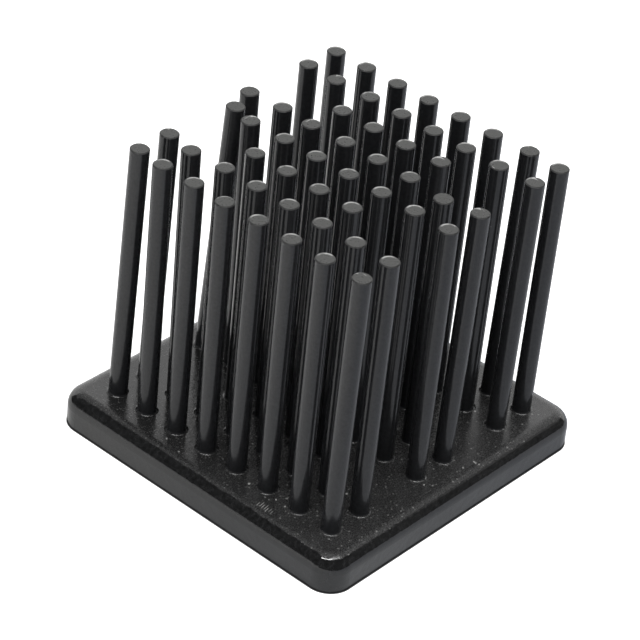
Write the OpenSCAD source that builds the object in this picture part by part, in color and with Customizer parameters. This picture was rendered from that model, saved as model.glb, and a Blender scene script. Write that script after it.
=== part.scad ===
// Pin fin heat sink, formed as one piece of aluminium and finished black.
// Round pins stand in a square grid on a thick square plate. Two columns of pins
// stop short at both ends, which leaves four open notches for the legs of a spring
// clip, and a few pins have been pushed a little out of true.
// The origin is at the middle of the underside. Z points up and the columns run
// along Y. Sizes are in millimetres.

/* [Base plate] */
// Length of each side of the square plate
base_w = 45; // [40:0.5:60]
// Thickness of the plate
base_t = 4.6; // [3:0.1:8]
// Radius of the plate's four corners, seen from above
corner_r = 3.1; // [2.2:0.1:6]
// Radius of the round along the plate's upper edge
edge_r = 2; // [0.6:0.1:2.2]
// Radius of the fine round along the plate's lower edge
heel_r = 0.2; // [0.1:0.05:0.4]

/* [Pins] */
// Diameter of a pin
pin_d = 2.35; // [1.6:0.05:3]
// Height of the pins above the plate
pin_h = 34.6; // [12:0.2:50]
// Distance from the centre of one pin to the next
pitch = 4.96; // [4.4:0.02:7]
// Radius of the fillet where a pin meets the plate
root_r = 0.3; // [0.1:0.05:0.5]
// Width and height of the bevel round a pin's flat tip
tip_bevel = 0.12; // [0.05:0.01:0.3]
// Least flat rim between the outer pins' fillets and the rounded edge
rim_w = 0.6; // [0.2:0.1:3]

/* [Clip notches] */
// Column that stops short, counted in from each side with the outermost as 0
notch_column = 2; // [1:1:3]
// Pins left out at each end of that column
notch_rows = 2; // [1:1:3]

/* [Hidden] */
$fn = 48;

// Pins that lean: column, row, and how far the tip has moved along X and along Y
bent_pins = [
    [3, 7, 0.8, -1.3],
    [0, 7, 0.4, -0.9],
    [1, 7, 0.4, -0.7],
    [4, 7, -0.4, 0],
    [4, 1, -0.6, -0.5],
    [7, 1, 0.3, -0.3],
    [4, 0, 0.3, -0.2],
    [6, 0, 0.3, -0.1],
    [0, 0, 0.2, -0.2],
    [5, 2, 0.3, -0.1],
    [1, 6, -0.3, 0.1],
    [3, 6, -0.2, 0.3],
    [6, 6, -0.2, 0.3],
    [4, 5, -0.2, 0.2],
    [0, 4, -0.2, 0]
];

pin_r = pin_d / 2;
// Depth to which each pin's stock runs down inside the plate
pin_sink = base_t / 2;
// The rounds never take more than the plate's thickness or its corners allow
edge_round = min(edge_r, corner_r, base_t - heel_r);
// Pins along each side: as many as the plate's flat top holds
pin_reach = base_w - 2 * (edge_r + rim_w + root_r + pin_r);
side_count = floor(pin_reach / pitch) + 1;
first_pin = -pitch * (side_count - 1) / 2;
// Distance from the middle to the centres of the corner arcs
corner_at = base_w / 2 - corner_r;

function is_notch_column(column) =
    column == notch_column || column == side_count - 1 - notch_column;
function is_end_row(row) = row < notch_rows || row >= side_count - notch_rows;
function has_pin(column, row) = !(is_notch_column(column) && is_end_row(row));
function tip_shift(column, row) =
    [for (bent = bent_pins) if (bent[0] == column && bent[1] == row) [bent[2], bent[3]]];

// What rounding a square corner at [r, r] to the radius r takes off it
module corner_waste(r) {
    difference() {
        square(2 * r);
        circle(r = r);
    }
}

// Section from the middle line out to x = reach, with its two outer edges rounded
module rim_section(reach) {
    difference() {
        square([reach, base_t]);
        translate([reach - edge_round, base_t - edge_round]) corner_waste(edge_round);
        translate([reach - heel_r, heel_r]) mirror([0, 1]) corner_waste(heel_r);
    }
}

// Bar across the whole plate along Y, its long edges rounded
module edge_bar() {
    rotate([90, 0, 0])
        linear_extrude(height = 2 * corner_at, center = true) {
            rim_section(base_w / 2);
            mirror([1, 0]) rim_section(base_w / 2);
        }
}

// Quarter turn of the rim about one corner's centre
module corner() {
    translate([corner_at, corner_at, 0])
        rotate_extrude(angle = 90) rim_section(corner_r);
}

// Square plate with round corners, a generous round above and a fine one below
module base_plate() {
    edge_bar();
    rotate([0, 0, 90]) edge_bar();
    for (turn = [0:90:270]) rotate([0, 0, turn]) corner();
}

// Half section of a pin, from inside the plate up to the bevelled tip, z = 0 at the plate's top
module pin_section() {
    translate([0, -pin_sink]) square([pin_r, pin_sink + pin_h - tip_bevel]);
    square([pin_r - tip_bevel, pin_h]);
    polygon([
        [0, pin_h - tip_bevel],
        [pin_r, pin_h - tip_bevel],
        [pin_r - tip_bevel, pin_h],
        [0, pin_h]
    ]);
    difference() {
        translate([0, -pin_sink]) square([pin_r + root_r, pin_sink + root_r]);
        translate([pin_r + root_r, root_r]) circle(r = root_r);
    }
}

module pin() {
    rotate_extrude() pin_section();
}

// All pins in their grid, each leaning as its own tip shift says
module pin_field() {
    for (column = [0:side_count - 1], row = [0:side_count - 1])
        if (has_pin(column, row)) {
            bent = tip_shift(column, row);
            shift = len(bent) > 0 ? bent[0] : [0, 0];
            translate([first_pin + column * pitch, first_pin + row * pitch, base_t])
                rotate([-atan(shift[1] / pin_h), atan(shift[0] / pin_h), 0])
                    pin();
        }
}

module heat_sink() {
    color([0.1, 0.1, 0.11]) {
        base_plate();
        pin_field();
    }
}

heat_sink();
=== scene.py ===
"""Finish, light and camera for the pin fin heat sink.

The CAD model is the frame and its surfaces are the real ones, so the script dresses it: black
anodised pins, a plate with a smooth edge and a grainy, dusty top, and matte cut tips. Lengths
are in metres. Z points up, and the origin is at the middle of the underside.
"""
import math

import bpy
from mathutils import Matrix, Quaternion, Vector


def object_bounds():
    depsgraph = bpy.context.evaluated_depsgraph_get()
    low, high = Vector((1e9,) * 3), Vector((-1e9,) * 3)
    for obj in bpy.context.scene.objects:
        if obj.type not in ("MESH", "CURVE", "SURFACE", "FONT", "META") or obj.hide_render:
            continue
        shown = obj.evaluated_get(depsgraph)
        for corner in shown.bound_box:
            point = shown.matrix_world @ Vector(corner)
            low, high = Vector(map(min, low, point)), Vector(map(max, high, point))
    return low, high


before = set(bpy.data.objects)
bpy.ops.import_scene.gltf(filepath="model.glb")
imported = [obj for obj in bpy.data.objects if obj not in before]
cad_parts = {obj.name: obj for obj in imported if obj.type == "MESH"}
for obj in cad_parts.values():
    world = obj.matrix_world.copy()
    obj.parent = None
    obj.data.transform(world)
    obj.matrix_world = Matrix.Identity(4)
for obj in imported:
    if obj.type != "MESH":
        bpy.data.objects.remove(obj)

bl_info = {
    "name": "Pin fin heat sink",
    "version": (1, 0, 0),
    "blender": (4, 5, 0),
    "location": "3D View > Sidebar > Heat sink",
    "description": "Dresses the heat sink in its black anodised finish, and lights and frames it",
    "category": "Object",
}

CAD_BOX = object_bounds()
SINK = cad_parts["heat_sink"]
MM = 0.001
UP = Vector((0, 0, 1))


# ---------------------------------------------------------------- sizes of the part


TIP_TOP = CAD_BOX[1].z
# Half of the plate's side, and the radius of its corners seen from above
HALF_PLATE = CAD_BOX[1].x
CORNER_ROUND = 3.1 * MM
# Height of the plate's flat top, where the pins' roots start
PLATE_TOP = 4.6 * MM
# Distance from the centre of one pin to the next
PITCH = 4.96 * MM
PIN_RADIUS = 1.175 * MM
# Depth and width of the bevel round a pin's flat tip, and the radius of the flat
TIP_BEVEL = 0.12 * MM
TIP_REACH = PIN_RADIUS - TIP_BEVEL
# How far down from the top a tip's own finish may reach
TIP_ZONE = 1.5 * TIP_BEVEL
# Least Z of a face's normal on a flat tip, and on the bevel round it
FLAT = 0.9
BEVELLED = 0.2
# Height above the plate's flat up to which a pin's fillet still has the plate's finish
FILLET_FOOT = 0.12 * MM


# ---------------------------------------------------------------- look of the surfaces


# Refractive index of the sealed oxide layer on the pins, and of the denser one on the plate
IOR = 1.45
PLATE_IOR = 1.54
# Range that noise values seldom leave
NOISE_LOW = 0.3
NOISE_HIGH = 0.7
# Size of the smallest specks against the largest
SPECK_LEAST = 0.4
# Where a speck's or a mark's edge starts to fade, as a share of the way out from its middle
FADE_FROM = 0.5
# Breaks in a mark: noise per metre, the value at which they end, and what is left of the mark
BREAKS_PER_METRE = 9000.0
BREAK_END = 0.45
BREAK_LEFT = 0.35
# How far the grainy top reaches down the rounded edge, and how far at the front
TOP_DROP = 0.22 * MM
TOP_DROP_FRONT = 0.33 * MM
# Where along Y it goes over from the one to the other
FRONT_START = -19.5 * MM
FRONT_END = -21.5 * MM
# How far the grainy top's boundary wanders, and how far it blurs to each side
TOP_WANDER = 0.05 * MM
TOP_BLUR = 0.04 * MM
# Where along Y the film of dust starts and where it is full, and how far that wanders
FILM_START = 10.0 * MM
FILM_FULL = -18.0 * MM
FILM_WANDER = 5.0 * MM
# Where the painted sheen along the rim starts and where it is full, and how strong it is there
RIM_SHEEN_START = 17.5 * MM
RIM_SHEEN_FULL = 21.0 * MM
RIM_SHEEN = 0.45
# How much rougher the top is under the film
FILM_ROUGHER = 1.5
# Share of the cells that hold a speck of dust, without the film and where it is full
DUST_LEAST = 0.03
DUST_MOST = 0.55
# How far the roughness of the plate's sides and the pins' colour and roughness vary
SPREAD = 0.15
# How much the specks of each kind, the marks and the painted highlights on the tips show
GRAIN_SHOW = 0.15
DUST_SHOW = 0.50
PIN_SPECK_SHOW = 0.2
TIP_SPECK_SHOW = 0.3
MARK_SHOW = 3.0
TIP_HIGHLIGHT_SHOW = 1.3
# How far out on a tip its painted highlight starts, and over which distance it comes in
TIP_HIGHLIGHT_INSIDE = 0.78 * MM
TIP_HIGHLIGHT_BLUR = 0.1 * MM
# Direction of the tips' painted highlight, from X towards Y, and the cosines of the angles from
# there at which the highlight ends and at which it is full
TIP_HIGHLIGHT_TURN = math.radians(50)
TIP_HIGHLIGHT_END = 0.35
TIP_HIGHLIGHT_FULL = 0.9
# How far a tip may stand from its place in the grid and still get its painted highlight
TIP_HIGHLIGHT_SHIFT = 0.15 * MM
# Marks on the plate's top: place along X and Y, turn in degrees, length and width, all in mm,
# and how bright each is
MARKS = (
    (-20.30, -8.75, 9, 0.9, 0.13, 0.22),
    (-20.05, -9.10, 7, 1.1, 0.12, 0.30),
    (-20.25, -9.45, 10, 1.0, 0.14, 0.34),
    (-20.10, -9.80, 9, 1.2, 0.13, 0.28),
    (-20.35, -10.15, 12, 1.0, 0.14, 0.32),
    (-20.15, -10.50, 8, 0.9, 0.12, 0.24),
    (-20.30, -10.85, 10, 0.8, 0.12, 0.20),
    (-18.40, -5.50, 20, 0.45, 0.30, 0.45),
    (-18.20, -9.60, 50, 0.35, 0.25, 0.35),
    (-18.35, -11.15, 15, 0.35, 0.25, 0.35),
    (-17.10, -10.30, 70, 0.30, 0.22, 0.30),
    (-11.20, -14.30, 40, 0.35, 0.30, 0.45),
    (-17.95, 11.45, 30, 0.30, 0.25, 0.35),
    (-19.55, 6.85, 60, 0.35, 0.22, 0.35),
    (-20.25, 4.15, 10, 0.30, 0.25, 0.30),
    (12.60, -14.00, 25, 0.35, 0.30, 0.40),
    (2.90, -20.20, 65, 0.30, 0.25, 0.35),
    (-3.10, -19.20, 20, 0.35, 0.25, 0.35),
    (4.75, -20.45, 80, 0.70, 0.25, 0.30),
    (4.90, -21.00, 30, 0.35, 0.25, 0.30),
    (-10.00, -16.85, 45, 0.35, 0.25, 0.45),
    (-10.70, -16.20, 10, 0.30, 0.25, 0.40),
    (-11.90, -21.75, 75, 0.35, 0.22, 0.35),
    # the next mark is a painted highlight: a light streak along the top of the rounded -X edge near
    # the front corner
    (-21.80, -17.75, 88, 1.10, 0.14, 0.25),
)
# Nicks on two tips, in the same form
NICKS = (
    (11.35, -12.30, 80, 0.50, 0.25, 0.5),
    (-16.65, -11.80, 60, 0.45, 0.25, 0.4),
)


# ---------------------------------------------------------------- layout of the studio


# The curved lamp: an arc whose centre lies behind and to the left of the object
ARC_HEIGHT = 1.0
ARC_RADIUS = 0.69
ARC_WIDTH = 0.11
ARC_FRONT = -0.37
ARC_RIGHT = -0.11
ARC_START = math.radians(-38)
ARC_END = math.radians(62)
ARC_STEPS = 180
# Pale panels: distance of each from the middle, height of its centre, width and height
BACKDROP = (1.0, 0.5, 3.0, 1.0)
CEILING = (0.65, 1.0, 3.0, 0.7)
SWEEP = (2.0, 0.11, 2.0, 0.22)
SIDE_WALL = (1.5, 0.5, 2.0, 1.0)
# Direction from the middle to the sweep, at the back left
BACK_LEFT = Vector((-0.856, 0.516, 0.0))
FLOOR_SIZE = 6.0
# Shade of the floor by its own colour, and what it glows by as well where the camera sees it
FLOOR_WHITE = (0.85, 0.85, 0.85)
FLOOR_GLOW = 0.8
# Distance from the middle over which the floor in reflections goes from its painted light at the
# left to its painted shade at the right
FLOOR_FALLOFF = 0.03
# Where the painted shadow on the floor, a dark line round the plate's foot, starts to fade, and
# where it ends
CONTACT_NEAR = 0.0 * MM
CONTACT_FAR = 0.12 * MM
# The same painted shadow in reflections, where the plate shades its own foot
SHADED_NEAR = 0.15 * MM
SHADED_FAR = 0.45 * MM
# Nothing closer to the camera than this shows
CLIP_START = 10 * MM


# ---------------------------------------------------------------- settings


class HeatSinkFinish(bpy.types.PropertyGroup):
    """Colours and gloss of the finish"""

    black: bpy.props.FloatVectorProperty(
        name="Pin black",
        description="Colour of the dyed oxide layer on the pins",
        subtype="COLOR",
        size=3,
        min=0.0,
        max=1.0,
        default=(0.0215, 0.0222, 0.0240),
    )
    edge: bpy.props.FloatVectorProperty(
        name="Edge black",
        description="Colour of the smooth layer on the plate's sides and rounded edge",
        subtype="COLOR",
        size=3,
        min=0.0,
        max=1.0,
        default=(0.0125, 0.0127, 0.0131),
    )
    top: bpy.props.FloatVectorProperty(
        name="Top black",
        description="Colour of the grainier layer on the plate's flat top",
        subtype="COLOR",
        size=3,
        min=0.0,
        max=1.0,
        default=(0.0185, 0.0186, 0.0188),
    )
    # this colour is also the painted sheen along the rim of the top
    haze_and_rim_sheen: bpy.props.FloatVectorProperty(
        name="Haze",
        description="Colour of the plate's top where a film of dust lies on it",
        subtype="COLOR",
        size=3,
        min=0.0,
        max=1.0,
        default=(0.0320, 0.0320, 0.0322),
    )
    tip: bpy.props.FloatVectorProperty(
        name="Tip grey",
        description="Colour of the matte cut tips",
        subtype="COLOR",
        size=3,
        min=0.0,
        max=1.0,
        default=(0.060, 0.061, 0.058),
    )
    lip: bpy.props.FloatVectorProperty(
        name="Lip black",
        description="Colour of the bevelled lip round a tip",
        subtype="COLOR",
        size=3,
        min=0.0,
        max=1.0,
        default=(0.030, 0.030, 0.030),
    )
    # dust colour, also used for the painted highlights on the tips and on the plate's edge
    dust: bpy.props.FloatVectorProperty(
        name="Dust",
        description="Colour of dust specks, and of metal laid bare by a scratch",
        subtype="COLOR",
        size=3,
        min=0.0,
        max=1.0,
        default=(0.45, 0.45, 0.44),
    )
    pin_gloss: bpy.props.FloatProperty(
        name="Pin roughness",
        description="Mean roughness of the pins' sides",
        subtype="FACTOR",
        min=0.02,
        max=1.0,
        default=0.17,
    )
    edge_gloss: bpy.props.FloatProperty(
        name="Edge roughness",
        description="Mean roughness of the plate's sides and rounded edge",
        subtype="FACTOR",
        min=0.02,
        max=1.0,
        default=0.08,
    )
    top_gloss: bpy.props.FloatProperty(
        name="Top roughness",
        description="Mean roughness of the plate's flat top",
        subtype="FACTOR",
        min=0.02,
        max=1.0,
        default=0.2,
    )
    tip_gloss: bpy.props.FloatProperty(
        name="Tip roughness",
        description="Mean roughness of the cut tips",
        subtype="FACTOR",
        min=0.02,
        max=1.0,
        default=0.5,
    )


class HeatSinkShot(bpy.types.PropertyGroup):
    """Where the camera stands"""

    aim: bpy.props.FloatVectorProperty(
        name="Aim",
        description="Point that the camera looks at",
        subtype="TRANSLATION",
        unit="LENGTH",
        size=3,
        default=(-1.907 * MM, -0.096 * MM, 17.372 * MM),
    )
    azimuth: bpy.props.FloatProperty(
        name="Azimuth",
        description="Turn of the camera round the object; 0 looks along +Y",
        subtype="ANGLE",
        default=math.radians(-51.095),
    )
    elevation: bpy.props.FloatProperty(
        name="Elevation",
        description="Height of the camera above the horizon",
        subtype="ANGLE",
        default=math.radians(34.724),
    )
    roll: bpy.props.FloatProperty(
        name="Roll",
        description="Turn of the camera about its own line of sight",
        subtype="ANGLE",
        default=math.radians(6.103),
    )
    distance: bpy.props.FloatProperty(
        name="Distance",
        description="From the aim to the camera",
        unit="LENGTH",
        min=0.05,
        default=325.374 * MM,
    )
    lens: bpy.props.FloatProperty(
        name="Lens",
        description="Focal length in millimetres",
        min=10.0,
        default=154.93,
    )


class HeatSinkLight(bpy.types.PropertyGroup):
    """Light and surroundings"""

    arc_glow: bpy.props.FloatProperty(
        name="Arc lamp",
        description="Radiance of the curved lamp above the object",
        min=0.0,
        default=22.0,
    )
    room_fill: bpy.props.FloatProperty(
        name="Room fill",
        description="Even light from all round that reaches matte surfaces",
        min=0.0,
        default=0.25,
    )
    room_gloss: bpy.props.FloatProperty(
        name="Room in reflections",
        description="How bright the dim room looks in a glossy surface",
        min=0.0,
        default=0.08,
    )
    backdrop_glow: bpy.props.FloatProperty(
        name="Backdrop",
        description="How bright the pale backdrop looks in a glossy surface",
        min=0.0,
        default=1.45,
    )
    ceiling_glow: bpy.props.FloatProperty(
        name="Ceiling",
        description="How bright the ceiling looks in a glossy surface",
        min=0.0,
        default=0.5,
    )
    sweep_glow: bpy.props.FloatProperty(
        name="Sweep",
        description="How bright the floor's upturned end at the back left looks in a glossy surface",
        min=0.0,
        default=1.1,
    )
    side_glow: bpy.props.FloatProperty(
        name="Side wall",
        description="How bright the side wall looks in a glossy surface",
        min=0.0,
        default=0.12,
    )
    # painted light: the floor in reflections is brighter at the left, as if lit from there
    floor_lit_left: bpy.props.FloatVectorProperty(
        name="Floor at the left, in reflections",
        description="Colour of the left part of the floor in a glossy surface",
        subtype="COLOR",
        size=3,
        min=0.0,
        default=(1.27, 1.27, 1.26),
    )
    # painted shade: the floor in reflections is darker and cooler at the right
    floor_shaded_right: bpy.props.FloatVectorProperty(
        name="Floor at the right, in reflections",
        description="Colour of the right part of the floor in a glossy surface",
        subtype="COLOR",
        size=3,
        min=0.0,
        default=(0.76, 0.79, 0.85),
    )
    contact: bpy.props.FloatProperty(
        name="Contact line",
        description="How much light is left on the floor right beside the plate's foot",
        subtype="FACTOR",
        min=0.0,
        max=1.0,
        default=0.05,
    )


# ---------------------------------------------------------------- small helpers


def lens_axis(azimuth, elevation):
    """Unit vector from the object towards a camera at that azimuth and elevation."""
    flat = math.cos(elevation)
    return Vector((math.sin(azimuth) * flat, -math.cos(azimuth) * flat, math.sin(elevation)))


def link(tree, source, target):
    """Join an output to an input."""
    tree.links.new(source, target)


def feed(tree, value, socket):
    """Link the value to the input if it is an output, or else set it on the input."""
    if isinstance(value, bpy.types.NodeSocket):
        link(tree, value, socket)
    else:
        socket.default_value = value


def new_group(name, inputs, outputs):
    """Shader node group with named float or vector sockets, and its two end nodes."""
    tree = bpy.data.node_groups.new(name, "ShaderNodeTree")
    for label, kind, default in inputs:
        socket = tree.interface.new_socket(label, in_out="INPUT", socket_type=kind)
        socket.default_value = default
    for label, kind in outputs:
        tree.interface.new_socket(label, in_out="OUTPUT", socket_type=kind)
    start = tree.nodes.new("NodeGroupInput")
    end = tree.nodes.new("NodeGroupOutput")
    return tree, start, end


def new_material(name):
    """Empty node material with its output node."""
    material = bpy.data.materials.new(name)
    material.use_nodes = True
    tree = material.node_tree
    tree.nodes.clear()
    output = tree.nodes.new("ShaderNodeOutputMaterial")
    return material, tree, output


def math_node(tree, operation, *values, clamp=False):
    """Result of that operation on outputs or numbers."""
    node = tree.nodes.new("ShaderNodeMath")
    node.operation = operation
    node.use_clamp = clamp
    for socket, value in zip(node.inputs, values):
        feed(tree, value, socket)
    return node.outputs[0]


def span_node(tree, value, low, high, to_low=0.0, to_high=1.0, smooth=False):
    """The value mapped from low..high to to_low..to_high, and held at both ends."""
    node = tree.nodes.new("ShaderNodeMapRange")
    if smooth:
        node.interpolation_type = "SMOOTHSTEP"
    link(tree, value, node.inputs["Value"])
    feed(tree, low, node.inputs["From Min"])
    feed(tree, high, node.inputs["From Max"])
    feed(tree, to_low, node.inputs["To Min"])
    feed(tree, to_high, node.inputs["To Max"])
    return node.outputs["Result"]


def axes_node(tree, vector):
    """The vector's three parts, under the names X, Y and Z."""
    node = tree.nodes.new("ShaderNodeSeparateXYZ")
    link(tree, vector, node.inputs[0])
    return node.outputs


def scale_node(tree, vector, factor):
    """The vector or colour times the factor."""
    node = tree.nodes.new("ShaderNodeVectorMath")
    node.operation = "SCALE"
    feed(tree, vector, node.inputs[0])
    feed(tree, factor, node.inputs["Scale"])
    return node.outputs[0]


def mix_node(tree, share, first, second):
    """Mix of two numbers."""
    node = tree.nodes.new("ShaderNodeMix")
    link(tree, share, node.inputs["Factor"])
    feed(tree, first, node.inputs["A"])
    feed(tree, second, node.inputs["B"])
    return node.outputs["Result"]


def blend_node(tree, share, first, second):
    """Mix of two colours, each an output or an RGB value."""
    node = tree.nodes.new("ShaderNodeMix")
    node.data_type = "RGBA"
    link(tree, share, node.inputs["Factor"])
    inputs = [socket for socket in node.inputs if socket.type == "RGBA"]
    for socket, colour in zip(inputs, (first, second)):
        if isinstance(colour, bpy.types.NodeSocket):
            link(tree, colour, socket)
        else:
            socket.default_value = (*colour, 1.0)
    return [socket for socket in node.outputs if socket.type == "RGBA"][0]


def bump_node(tree, height, depth, before=None):
    """Normal that a height from 0 to 1 gives, at that depth in metres."""
    node = tree.nodes.new("ShaderNodeBump")
    node.inputs["Distance"].default_value = depth
    link(tree, height, node.inputs["Height"])
    if before is not None:
        link(tree, before, node.inputs["Normal"])
    return node.outputs["Normal"]


def base_shader(tree, output, ior):
    """Shader of a dielectric surface, and the place on the object."""
    shader = tree.nodes.new("ShaderNodeBsdfPrincipled")
    shader.inputs["IOR"].default_value = ior
    link(tree, shader.outputs["BSDF"], output.inputs["Surface"])
    coords = tree.nodes.new("ShaderNodeTexCoord").outputs["Object"]
    return shader, coords


def place_group(tree, group, **values):
    """The group as a node in that tree, with its named inputs set or linked."""
    node = tree.nodes.new("ShaderNodeGroup")
    node.node_tree = group
    for label, value in values.items():
        feed(tree, value, node.inputs[label.replace("_", " ")])
    return node


def effect(name):
    """Shared effect that was built before."""
    return bpy.data.node_groups[name]


# ---------------------------------------------------------------- shared effects


def grain_group():
    """Fine grain of a formed or cut surface, as a value from Low to High."""
    tree, start, end = new_group(
        "Grain",
        [
            ("Vector", "NodeSocketVector", (0, 0, 0)),
            ("Per metre", "NodeSocketFloat", 3000.0),
            ("Detail", "NodeSocketFloat", 3.0),
            ("Low", "NodeSocketFloat", 0.0),
            ("High", "NodeSocketFloat", 1.0),
        ],
        [("Value", "NodeSocketFloat")],
    )
    noise = tree.nodes.new("ShaderNodeTexNoise")
    link(tree, start.outputs["Vector"], noise.inputs["Vector"])
    link(tree, start.outputs["Per metre"], noise.inputs["Scale"])
    link(tree, start.outputs["Detail"], noise.inputs["Detail"])
    value = span_node(
        tree,
        noise.outputs["Fac"],
        NOISE_LOW,
        NOISE_HIGH,
        start.outputs["Low"],
        start.outputs["High"],
    )
    link(tree, value, end.inputs["Value"])
    return tree


def speck_group():
    """Sparse round specks, as a mask: a share of the cells holds one speck each."""
    tree, start, end = new_group(
        "Specks",
        [
            ("Vector", "NodeSocketVector", (0, 0, 0)),
            ("Per metre", "NodeSocketFloat", 1500.0),
            ("Size", "NodeSocketFloat", 0.12),
            ("Share", "NodeSocketFloat", 0.1),
        ],
        [("Mask", "NodeSocketFloat")],
    )
    cells = tree.nodes.new("ShaderNodeTexVoronoi")
    cells.feature = "F1"
    link(tree, start.outputs["Vector"], cells.inputs["Vector"])
    link(tree, start.outputs["Per metre"], cells.inputs["Scale"])
    split = tree.nodes.new("ShaderNodeSeparateColor")
    link(tree, cells.outputs["Color"], split.inputs[0])
    chosen = math_node(tree, "LESS_THAN", split.outputs[0], start.outputs["Share"])
    size = span_node(tree, split.outputs[1], 0.0, 1.0, to_low=SPECK_LEAST)
    radius = math_node(tree, "MULTIPLY", start.outputs["Size"], size)
    near = math_node(tree, "SUBTRACT", radius, cells.outputs["Distance"])
    dot = span_node(tree, math_node(tree, "DIVIDE", near, radius), 0.0, 1.0 - FADE_FROM)
    link(tree, math_node(tree, "MULTIPLY", chosen, dot), end.inputs["Mask"])
    return tree


def stroke_group():
    """One straight mark at a place, as a mask with soft edges and breaks."""
    tree, start, end = new_group(
        "Stroke",
        [
            ("Vector", "NodeSocketVector", (0, 0, 0)),
            ("Place", "NodeSocketVector", (0, 0, 0)),
            ("Turn", "NodeSocketVector", (0, 0, 0)),
            ("Length", "NodeSocketFloat", 0.001),
            ("Width", "NodeSocketFloat", 0.0001),
        ],
        [("Mask", "NodeSocketFloat")],
    )
    shift = tree.nodes.new("ShaderNodeVectorMath")
    shift.operation = "SUBTRACT"
    link(tree, start.outputs["Vector"], shift.inputs[0])
    link(tree, start.outputs["Place"], shift.inputs[1])
    turned = tree.nodes.new("ShaderNodeVectorRotate")
    turned.rotation_type = "EULER_XYZ"
    turned.invert = True
    link(tree, shift.outputs[0], turned.inputs["Vector"])
    link(tree, start.outputs["Turn"], turned.inputs["Rotation"])
    parts = axes_node(tree, turned.outputs[0])
    masks = []
    for axis, size in (("X", "Length"), ("Y", "Width")):
        half = math_node(tree, "MULTIPLY", start.outputs[size], 0.5)
        away = math_node(tree, "DIVIDE", math_node(tree, "ABSOLUTE", parts[axis]), half)
        masks.append(span_node(tree, away, 1.0, FADE_FROM))
    noise = tree.nodes.new("ShaderNodeTexNoise")
    noise.inputs["Scale"].default_value = BREAKS_PER_METRE
    link(tree, start.outputs["Vector"], noise.inputs["Vector"])
    broken = span_node(tree, noise.outputs["Fac"], NOISE_LOW, BREAK_END, to_low=BREAK_LEFT)
    whole = math_node(tree, "MULTIPLY", masks[0], masks[1])
    link(tree, math_node(tree, "MULTIPLY", whole, broken), end.inputs["Mask"])
    return tree


def marked(tree, coords, marks, height, before):
    """The mask before, with straight marks laid over it at that height."""
    for x, y, turn, length, width, bright in marks:
        mark = place_group(
            tree,
            effect("Stroke"),
            Vector=coords,
            Place=(x * MM, y * MM, height),
            Turn=(0.0, 0.0, math.radians(turn)),
            Length=length * MM,
            Width=width * MM,
        )
        shown = math_node(tree, "MULTIPLY", mark.outputs["Mask"], MARK_SHOW * bright)
        before = math_node(tree, "MAXIMUM", before, shown)
    return before


def tip_highlight_mask(tree, coords):
    """Painted highlight, a thin crescent along the side of each tip that faces +X and +Y."""
    place = axes_node(tree, coords)
    local = []
    for axis in ("X", "Y"):
        cell = math_node(tree, "FRACT", math_node(tree, "DIVIDE", place[axis], PITCH))
        local.append(math_node(tree, "MULTIPLY", math_node(tree, "SUBTRACT", cell, 0.5), PITCH))
    squares = [math_node(tree, "POWER", value, 2.0) for value in local]
    radius = math_node(tree, "SQRT", math_node(tree, "ADD", *squares))
    ring = span_node(tree, radius, TIP_HIGHLIGHT_INSIDE, TIP_HIGHLIGHT_INSIDE + TIP_HIGHLIGHT_BLUR)
    along = math_node(
        tree,
        "ADD",
        math_node(tree, "MULTIPLY", local[0], math.cos(TIP_HIGHLIGHT_TURN)),
        math_node(tree, "MULTIPLY", local[1], math.sin(TIP_HIGHLIGHT_TURN)),
    )
    side = span_node(tree, math_node(tree, "DIVIDE", along, radius), TIP_HIGHLIGHT_END, TIP_HIGHLIGHT_FULL)
    patchy = place_group(tree, effect("Grain"), Vector=coords, Per_metre=900.0, Low=0.0, High=1.4)
    shown = math_node(tree, "MULTIPLY", side, patchy.outputs["Value"])
    return math_node(tree, "MULTIPLY", ring, shown)


# ---------------------------------------------------------------- operators


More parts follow.
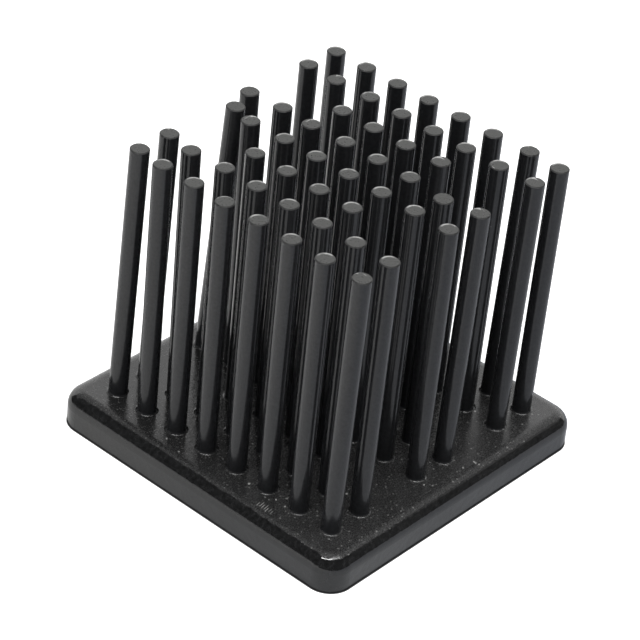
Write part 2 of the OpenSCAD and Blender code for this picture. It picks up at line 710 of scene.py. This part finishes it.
class HEATSINK_OT_plate_finish(bpy.types.Operator):
    """Finish the plate: smooth black sides and edge, grainy top with dust and scratches, a painted
    sheen along the top's rim and a painted highlight on one edge
    """

    bl_idname = "heatsink.plate_finish"
    bl_label = "Plate finish"

    def execute(self, context):
        finish = context.scene.heat_sink_finish
        material, tree, output = new_material("plate_black")
        shader, coords = base_shader(tree, output, PLATE_IOR)
        place = axes_node(tree, coords)
        grain = effect("Grain")

        # the grainy top ends a little below the flat, on the rounded edge, and lower at the front
        wave = place_group(
            tree, grain, Vector=coords, Per_metre=1300.0, Low=-TOP_WANDER, High=TOP_WANDER
        )
        height = math_node(tree, "ADD", place["Z"], wave.outputs["Value"])
        low = span_node(tree, place["Y"], FRONT_START, FRONT_END, TOP_DROP, TOP_DROP_FRONT)
        lift = math_node(tree, "SUBTRACT", math_node(tree, "ADD", height, low), PLATE_TOP)
        on_top = span_node(tree, lift, -TOP_BLUR, TOP_BLUR, smooth=True)

        # a film of dust lies on the top and thickens towards the front, and along the rim the top is
        # made lighter as well, a painted sheen
        drift = place_group(
            tree, grain, Vector=coords, Per_metre=160.0, Low=-FILM_WANDER, High=FILM_WANDER
        )
        along = math_node(tree, "ADD", place["Y"], drift.outputs["Value"])
        settled = span_node(tree, along, FILM_START, FILM_FULL)
        sides = [math_node(tree, "ABSOLUTE", place[axis]) for axis in ("X", "Y")]
        rim_sheen = span_node(
            tree, math_node(tree, "MAXIMUM", *sides), RIM_SHEEN_START, RIM_SHEEN_FULL, to_high=RIM_SHEEN
        )
        # the film holds both the dust towards the front and the painted sheen along the rim
        film = math_node(tree, "ADD", settled, rim_sheen, clamp=True)

        # the top's colour under the dust film and the rim's painted sheen, and the blotchy colour of
        # the sides
        fine = place_group(tree, grain, Vector=coords, Per_metre=6500.0, Low=0.60, High=1.30)
        top = blend_node(tree, film, finish.top, finish.haze_and_rim_sheen)
        grained = scale_node(tree, top, fine.outputs["Value"])
        mottle = place_group(tree, grain, Vector=coords, Per_metre=2200.0, Low=0.4, High=1.6)
        side = scale_node(tree, finish.edge, mottle.outputs["Value"])
        colour = blend_node(tree, on_top, side, grained)

        # fine bright grains all over the top, dust that thickens with the film, and the marks
        grains = place_group(
            tree, effect("Specks"), Vector=coords, Per_metre=3000.0, Size=0.46, Share=0.7
        )
        dense = math_node(tree, "POWER", settled, 2.0)
        share = span_node(tree, dense, 0.0, 1.0, DUST_LEAST, DUST_MOST)
        dust = place_group(
            tree, effect("Specks"), Vector=coords, Per_metre=1900.0, Size=0.30, Share=share
        )
        marks = math_node(
            tree,
            "MAXIMUM",
            math_node(tree, "MULTIPLY", grains.outputs["Mask"], GRAIN_SHOW),
            math_node(tree, "MULTIPLY", dust.outputs["Mask"], DUST_SHOW),
        )
        marks = marked(tree, coords, MARKS, PLATE_TOP, marks)
        marks = math_node(tree, "MULTIPLY", marks, on_top)
        link(tree, blend_node(tree, marks, colour, finish.dust), shader.inputs["Base Color"])

        # the top is rougher than the sides, and most so under the film
        smooth = place_group(
            tree,
            grain,
            Vector=coords,
            Per_metre=2500.0,
            Low=finish.edge_gloss * (1 - SPREAD),
            High=finish.edge_gloss * (1 + SPREAD),
        )
        hazy = span_node(
            tree, film, 0.0, 1.0, finish.top_gloss, finish.top_gloss * FILM_ROUGHER
        )
        rough = math_node(tree, "MULTIPLY", hazy, fine.outputs["Value"])
        rough = mix_node(tree, on_top, smooth.outputs["Value"], rough)
        link(tree, rough, shader.inputs["Roughness"])

        # shallow waves all over, and pits in the top
        ripple = place_group(tree, grain, Vector=coords, Per_metre=1100.0, Detail=1.0)
        waved = bump_node(tree, ripple.outputs["Value"], depth=0.008 * MM)
        pitted = math_node(tree, "MULTIPLY", fine.outputs["Value"], on_top)
        normal = bump_node(tree, pitted, depth=0.004 * MM, before=waved)
        link(tree, normal, shader.inputs["Normal"])
        SINK.data.materials.append(material)
        return {"FINISHED"}


class HEATSINK_OT_pin_finish(bpy.types.Operator):
    """Finish the pins' sides: dyed black with a soft sheen"""

    bl_idname = "heatsink.pin_finish"
    bl_label = "Pin finish"

    def execute(self, context):
        finish = context.scene.heat_sink_finish
        material, tree, output = new_material("pin_black")
        shader, coords = base_shader(tree, output, IOR)
        fine = place_group(
            tree,
            effect("Grain"),
            Vector=coords,
            Per_metre=2600.0,
            Low=1 - SPREAD,
            High=1 + SPREAD,
        )
        colour = scale_node(tree, finish.black, fine.outputs["Value"])
        specks = place_group(
            tree, effect("Specks"), Vector=coords, Per_metre=700.0, Size=0.08, Share=0.05
        )
        faint = math_node(tree, "MULTIPLY", specks.outputs["Mask"], PIN_SPECK_SHOW)
        colour = blend_node(tree, faint, colour, finish.dust)
        link(tree, colour, shader.inputs["Base Color"])
        rough = math_node(tree, "MULTIPLY", fine.outputs["Value"], finish.pin_gloss)
        link(tree, rough, shader.inputs["Roughness"])
        normal = bump_node(tree, fine.outputs["Value"], depth=0.002 * MM)
        link(tree, normal, shader.inputs["Normal"])
        SINK.data.materials.append(material)
        return {"FINISHED"}


class HEATSINK_OT_tip_finish(bpy.types.Operator):
    """Finish the cut tips, with a painted highlight along each one's back side, and the bevelled lip
    round each
    """

    bl_idname = "heatsink.tip_finish"
    bl_label = "Tip finish"

    def execute(self, context):
        finish = context.scene.heat_sink_finish
        for name, tint, low, painted_highlight in (
            ("tip_grey_highlighted", finish.tip, 0.3, True),
            ("tip_plain", finish.tip, 0.3, False),
            ("lip_black", finish.lip, 0.6, False),
        ):
            material, tree, output = new_material(name)
            shader, coords = base_shader(tree, output, IOR)
            fine = place_group(
                tree, effect("Grain"), Vector=coords, Per_metre=3400.0, Low=low, High=2.0 - low
            )
            colour = scale_node(tree, tint, fine.outputs["Value"])
            specks = place_group(
                tree, effect("Specks"), Vector=coords, Per_metre=1600.0, Size=0.14, Share=0.10
            )
            marks = math_node(tree, "MULTIPLY", specks.outputs["Mask"], TIP_SPECK_SHOW)
            # painted highlight along the back side of each tip, and the nicks
            if painted_highlight:
                crescent = math_node(tree, "MULTIPLY", tip_highlight_mask(tree, coords), TIP_HIGHLIGHT_SHOW)
                marks = math_node(tree, "MAXIMUM", marks, crescent)
                marks = marked(tree, coords, NICKS, TIP_TOP, marks)
            colour = blend_node(tree, marks, colour, finish.dust)
            link(tree, colour, shader.inputs["Base Color"])
            rough = math_node(tree, "MULTIPLY", fine.outputs["Value"], finish.tip_gloss)
            link(tree, rough, shader.inputs["Roughness"])
            normal = bump_node(tree, fine.outputs["Value"], depth=0.004 * MM)
            link(tree, normal, shader.inputs["Normal"])
            SINK.data.materials.append(material)
        return {"FINISHED"}


class HEATSINK_OT_finish(bpy.types.Operator):
    """Build the shared effects, finish every surface, and give each face its finish"""

    bl_idname = "heatsink.finish"
    bl_label = "Finish"

    def execute(self, context):
        mesh = SINK.data
        mesh.materials.clear()
        for build in (grain_group, speck_group, stroke_group):
            build()
        bpy.ops.heatsink.plate_finish()
        bpy.ops.heatsink.pin_finish()
        bpy.ops.heatsink.tip_finish()
        # the slots, in the order in which the materials were added
        plate, pin, tip, plain, lip = range(5)
        for face in mesh.polygons:
            height = face.center.z
            if height <= PLATE_TOP + FILLET_FOOT:
                face.material_index = plate
            elif height < TIP_TOP - TIP_ZONE:
                face.material_index = pin
            elif face.normal.z > FLAT:
                # a tip out of its place gets no painted highlight, which would fall beside it
                face.material_index = tip if self.in_place(mesh, face) else plain
            elif face.normal.z > BEVELLED:
                face.material_index = lip
            else:
                face.material_index = pin
        return {"FINISHED"}

    def in_place(self, mesh, face):
        """Whether the tip stands about where the grid of pins has its place."""
        spots = [mesh.vertices[index].co for index in face.vertices]
        for axis in (0, 1):
            reach = max(abs((spot[axis] / PITCH) % 1.0 - 0.5) * PITCH for spot in spots)
            if reach > TIP_REACH + TIP_HIGHLIGHT_SHIFT:
                return False
        return True


class HEATSINK_OT_stage(bpy.types.Operator):
    """Add the floor, the lights and the world"""

    bl_idname = "heatsink.stage"
    bl_label = "Stage"

    def execute(self, context):
        scene = context.scene
        light = scene.heat_sink_light
        azimuth = scene.heat_sink_shot.azimuth
        front = lens_axis(azimuth, 0.0)
        right = UP.cross(front)
        self.world(scene, light)
        self.floor(light, right)
        self.arc_lamp(front, right, light.arc_glow)
        self.wall("backdrop", BACKDROP, -front, light.backdrop_glow)
        self.wall("ceiling", CEILING, -front, light.ceiling_glow, azimuth)
        self.wall("sweep", SWEEP, BACK_LEFT, light.sweep_glow)
        self.wall("side_wall", SIDE_WALL, right, light.side_glow)
        return {"FINISHED"}

    def floor(self, light, right):
        """Plain pale floor; in reflections it has painted light at the left and painted shade at the
        right, and round the plate's foot a painted shadow.
        """
        bpy.ops.object.select_all(action="DESELECT")
        bpy.ops.mesh.primitive_plane_add(size=FLOOR_SIZE, location=(0, 0, 0))
        floor = bpy.context.object
        floor.name = "floor"
        material, tree, output = new_material("floor_white")
        diffuse = tree.nodes.new("ShaderNodeBsdfDiffuse")
        glow = tree.nodes.new("ShaderNodeEmission")
        path = tree.nodes.new("ShaderNodeLightPath")
        coords = tree.nodes.new("ShaderNodeTexCoord").outputs["Object"]
        # in reflections the floor has painted light at the left and painted shade at the right
        across = tree.nodes.new("ShaderNodeVectorMath")
        across.operation = "DOT_PRODUCT"
        link(tree, coords, across.inputs[0])
        across.inputs[1].default_value = right
        share = span_node(tree, across.outputs["Value"], -FLOOR_FALLOFF, FLOOR_FALLOFF)
        painted_floor_light = blend_node(tree, share, light.floor_lit_left, light.floor_shaded_right)
        plain = blend_node(tree, path.outputs["Is Glossy Ray"], FLOOR_WHITE, painted_floor_light)
        # painted shadow round the plate's foot: a narrow line where the camera sees the floor, a
        # wider one in reflections
        foot = self.foot_shade(tree, coords, light.contact, CONTACT_NEAR, CONTACT_FAR)
        under = self.foot_shade(tree, coords, light.contact, SHADED_NEAR, SHADED_FAR)
        shade = mix_node(tree, path.outputs["Is Glossy Ray"], foot, under)
        link(tree, scale_node(tree, plain, shade), diffuse.inputs["Color"])
        seen = math_node(tree, "MULTIPLY", path.outputs["Is Camera Ray"], FLOOR_GLOW)
        link(tree, math_node(tree, "MULTIPLY", seen, foot), glow.inputs["Strength"])
        both = tree.nodes.new("ShaderNodeAddShader")
        link(tree, diffuse.outputs[0], both.inputs[0])
        link(tree, glow.outputs[0], both.inputs[1])
        link(tree, both.outputs[0], output.inputs["Surface"])
        floor.data.materials.append(material)

    def foot_shade(self, tree, coords, least, near, far):
        """Painted shadow that hugs the plate's foot and fades out between the two distances."""
        place = axes_node(tree, coords)
        squares = []
        for axis in ("X", "Y"):
            size = math_node(tree, "ABSOLUTE", place[axis])
            past = math_node(tree, "SUBTRACT", size, HALF_PLATE - CORNER_ROUND)
            past = math_node(tree, "MAXIMUM", past, 0.0)
            squares.append(math_node(tree, "POWER", past, 2.0))
        away = math_node(tree, "SQRT", math_node(tree, "ADD", *squares))
        return span_node(
            tree, away, CORNER_ROUND + near, CORNER_ROUND + far, least, 1.0, smooth=True
        )

    def world(self, scene, light):
        """White behind the floor, an even fill on matte surfaces, and dim in glossy ones."""
        world = bpy.data.worlds.new("studio")
        world.use_nodes = True
        scene.world = world
        tree = world.node_tree
        background = tree.nodes["Background"]
        path = tree.nodes.new("ShaderNodeLightPath")
        level = math_node(tree, "MULTIPLY", path.outputs["Is Diffuse Ray"], light.room_fill)
        for kind, strength in (("Is Camera Ray", 1.0), ("Is Glossy Ray", light.room_gloss)):
            part = math_node(tree, "MULTIPLY", path.outputs[kind], strength)
            level = math_node(tree, "ADD", level, part)
        link(tree, level, background.inputs["Strength"])
        background.inputs["Color"].default_value = (1, 1, 1, 1)

    def glow_on(self, thing, name, strength, lights):
        """Make the thing glow; without lights it only shows in glossy surfaces."""
        thing.name = name
        thing.visible_camera = False
        thing.visible_diffuse = lights
        thing.visible_shadow = False
        material, tree, output = new_material(name + "_glow")
        glow = tree.nodes.new("ShaderNodeEmission")
        glow.inputs["Strength"].default_value = strength
        link(tree, glow.outputs[0], output.inputs["Surface"])
        thing.data.materials.append(material)

    def wall(self, name, layout, way, strength, turn=None):
        """Pale panel that faces the middle or, with a turn, hangs level and faces down."""
        away, height, width, tall = layout
        bpy.ops.object.select_all(action="DESELECT")
        bpy.ops.mesh.primitive_plane_add(size=1.0, location=way * away + UP * height)
        panel = bpy.context.object
        panel.scale = (width, tall, 1.0)
        if turn is None:
            panel.rotation_mode = "QUATERNION"
            panel.rotation_quaternion = (-way).to_track_quat("Z", "Y")
        else:
            panel.rotation_euler = (math.pi, 0.0, turn)
        self.glow_on(panel, name, strength, lights=False)

    def arc_lamp(self, front, right, strength):
        """Curved strip of light overhead, which gives the rounded corner its crescent."""
        outer = ARC_RADIUS + ARC_WIDTH / 2
        inner = ARC_RADIUS - ARC_WIDTH / 2
        centre = front * ARC_FRONT + right * ARC_RIGHT + UP * ARC_HEIGHT
        bpy.ops.object.select_all(action="DESELECT")
        bpy.ops.mesh.primitive_circle_add(vertices=ARC_STEPS, radius=outer, fill_type="NOTHING")
        lamp = bpy.context.object
        bpy.ops.object.mode_set(mode="EDIT")
        bpy.ops.mesh.select_all(action="SELECT")
        bpy.ops.mesh.extrude_edges_move()
        bpy.ops.transform.resize(value=(inner / outer, inner / outer, 1.0))
        bpy.ops.mesh.select_all(action="DESELECT")
        bpy.ops.object.mode_set(mode="OBJECT")
        for vertex in lamp.data.vertices:
            angle = math.atan2(vertex.co.y, vertex.co.x)
            vertex.select = not ARC_START <= angle <= ARC_END
        bpy.ops.object.mode_set(mode="EDIT")
        bpy.ops.mesh.delete(type="VERT")
        bpy.ops.object.mode_set(mode="OBJECT")
        lamp.location = centre
        lamp.rotation_euler = (0, 0, math.atan2(front.y, front.x))
        self.glow_on(lamp, "arc_lamp", strength, lights=True)


class HEATSINK_OT_camera(bpy.types.Operator):
    """Add the camera"""

    bl_idname = "heatsink.camera"
    bl_label = "Camera"

    def execute(self, context):
        shot = context.scene.heat_sink_shot
        towards = lens_axis(shot.azimuth, shot.elevation)
        data = bpy.data.cameras.new("camera")
        data.lens = shot.lens
        data.clip_start = CLIP_START
        camera = bpy.data.objects.new("camera", data)
        context.scene.collection.objects.link(camera)
        camera.location = Vector(shot.aim) + towards * shot.distance
        camera.rotation_mode = "QUATERNION"
        level = (-towards).to_track_quat("-Z", "Y")
        camera.rotation_quaternion = level @ Quaternion((0, 0, 1), shot.roll)
        context.scene.camera = camera
        return {"FINISHED"}


class HEATSINK_PT_panel(bpy.types.Panel):
    """Sidebar panel that lists the steps"""

    bl_idname = "HEATSINK_PT_panel"
    bl_label = "Heat sink"
    bl_space_type = "VIEW_3D"
    bl_region_type = "UI"
    bl_category = "Heat sink"

    def draw(self, context):
        for step in STEPS:
            self.layout.operator(step.bl_idname)


STEPS = (
    HEATSINK_OT_camera,
    HEATSINK_OT_finish,
    HEATSINK_OT_plate_finish,
    HEATSINK_OT_pin_finish,
    HEATSINK_OT_tip_finish,
    HEATSINK_OT_stage,
)
CLASSES = (HeatSinkFinish, HeatSinkShot, HeatSinkLight, *STEPS, HEATSINK_PT_panel)


def register():
    for cls in CLASSES:
        bpy.utils.register_class(cls)
    bpy.types.Scene.heat_sink_finish = bpy.props.PointerProperty(type=HeatSinkFinish)
    bpy.types.Scene.heat_sink_shot = bpy.props.PointerProperty(type=HeatSinkShot)
    bpy.types.Scene.heat_sink_light = bpy.props.PointerProperty(type=HeatSinkLight)


def unregister():
    del bpy.types.Scene.heat_sink_light
    del bpy.types.Scene.heat_sink_shot
    del bpy.types.Scene.heat_sink_finish
    for cls in reversed(CLASSES):
        bpy.utils.unregister_class(cls)


def main():
    register()
    bpy.context.scene.view_settings.view_transform = "Standard"
    bpy.ops.heatsink.camera()
    bpy.ops.heatsink.finish()
    bpy.ops.heatsink.stage()


if __name__ == "__main__":
    main()
